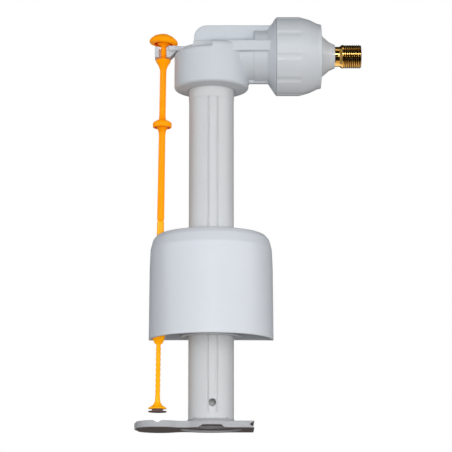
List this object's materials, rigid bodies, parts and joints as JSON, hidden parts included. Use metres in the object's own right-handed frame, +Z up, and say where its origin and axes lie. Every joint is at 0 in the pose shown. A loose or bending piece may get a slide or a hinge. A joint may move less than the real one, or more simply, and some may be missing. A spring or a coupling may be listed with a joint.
{
  "type": "float valve",
  "caption": "Side-inlet cistern float valve: threaded brass inlet, union nut, diaphragm body, outlet column with a sliding cup float, level rod and pilot lever.",
  "frame": {"origin": "on the inlet axis, where the brass spigot's thread starts", "axes": "+X out of the inlet along its axis, +Z up along the column, +Y away from the front"},
  "size_m": [0.1573, 0.0855, 0.2902],
  "materials": {
    "brass": "machined and lightly polished brass, fine turning marks",
    "body_white": "injection-moulded light grey-white plastic, satin",
    "nut_white": "injection-moulded light grey-white plastic, satin, with grip pads",
    "tube_white": "moulded light grey-white plastic, satin, slight vertical flow marks",
    "silencer_white": "plain white plastic",
    "float_white": "smooth moulded light grey-white plastic, soft sheen",
    "foot_grey": "moulded light grey plastic, satin",
    "lever_white": "moulded light grey-white plastic, satin",
    "rod_orange": "bright orange moulded plastic, semi gloss",
    "adjuster_amber": "amber orange moulded plastic, semi gloss, slightly translucent",
    "filter_nylon": "natural nylon",
    "regulator_grey": "dark grey plastic",
    "seat_white": "white acetal",
    "seal_rubber": "black rubber, matt",
    "pin_steel": "stainless steel pin"
  },
  "bodies": {
    "root": {"inlet_spigot": "brass", "inlet_adapter": "body_white", "inlet_filter": "filter_nylon", "flow_regulator": "regulator_grey", "adapter_seal": "seal_rubber", "union_nut": "nut_white", "main_body": "body_white", "valve_seat": "seat_white", "diaphragm": "seal_rubber", "metering_pin": "pin_steel", "column_tube": "tube_white", "column_seal": "seal_rubber", "silencer_tube": "silencer_white", "foot_plate": "foot_grey", "lever_pin": "pin_steel"},
    "rod": {"upper_rod": "rod_orange", "adjuster_rod": "adjuster_amber"},
    "lever": {"lever": "lever_white", "pilot_pad": "seal_rubber"},
    "float": {"float_shell": "float_white", "float_clip": "adjuster_amber"},
    "valve_disc": {"diaphragm_insert": "seat_white"}
  },
  "joints": [
    {"name": "rod_slide", "type": "slide", "parent": "root", "child": "rod", "axis": [0, 0, 1], "range_m": [0, 0.0035]},
    {"name": "lever_pivot", "type": "hinge", "parent": "root", "child": "lever", "pos_m": [-0.0639, 0, -0.009], "axis": [0, 1, 0], "range_deg": [0, 3.3]},
    {"name": "valve_disc_slide", "type": "slide", "parent": "root", "child": "valve_disc", "axis": [1, 0, 0], "range_m": [0, 0.0015]},
    {"name": "float_adjust", "type": "slide", "parent": "rod", "child": "float", "axis": [0, 0, 1], "range_m": [-0.03, 0.03]}
  ],
  "couplings": [
    {"joint": "lever_pivot", "follows": "rod_slide", "rad_per_m": 16.3},
    {"joint": "valve_disc_slide", "follows": "rod_slide", "ratio": 0.42}
  ]
}
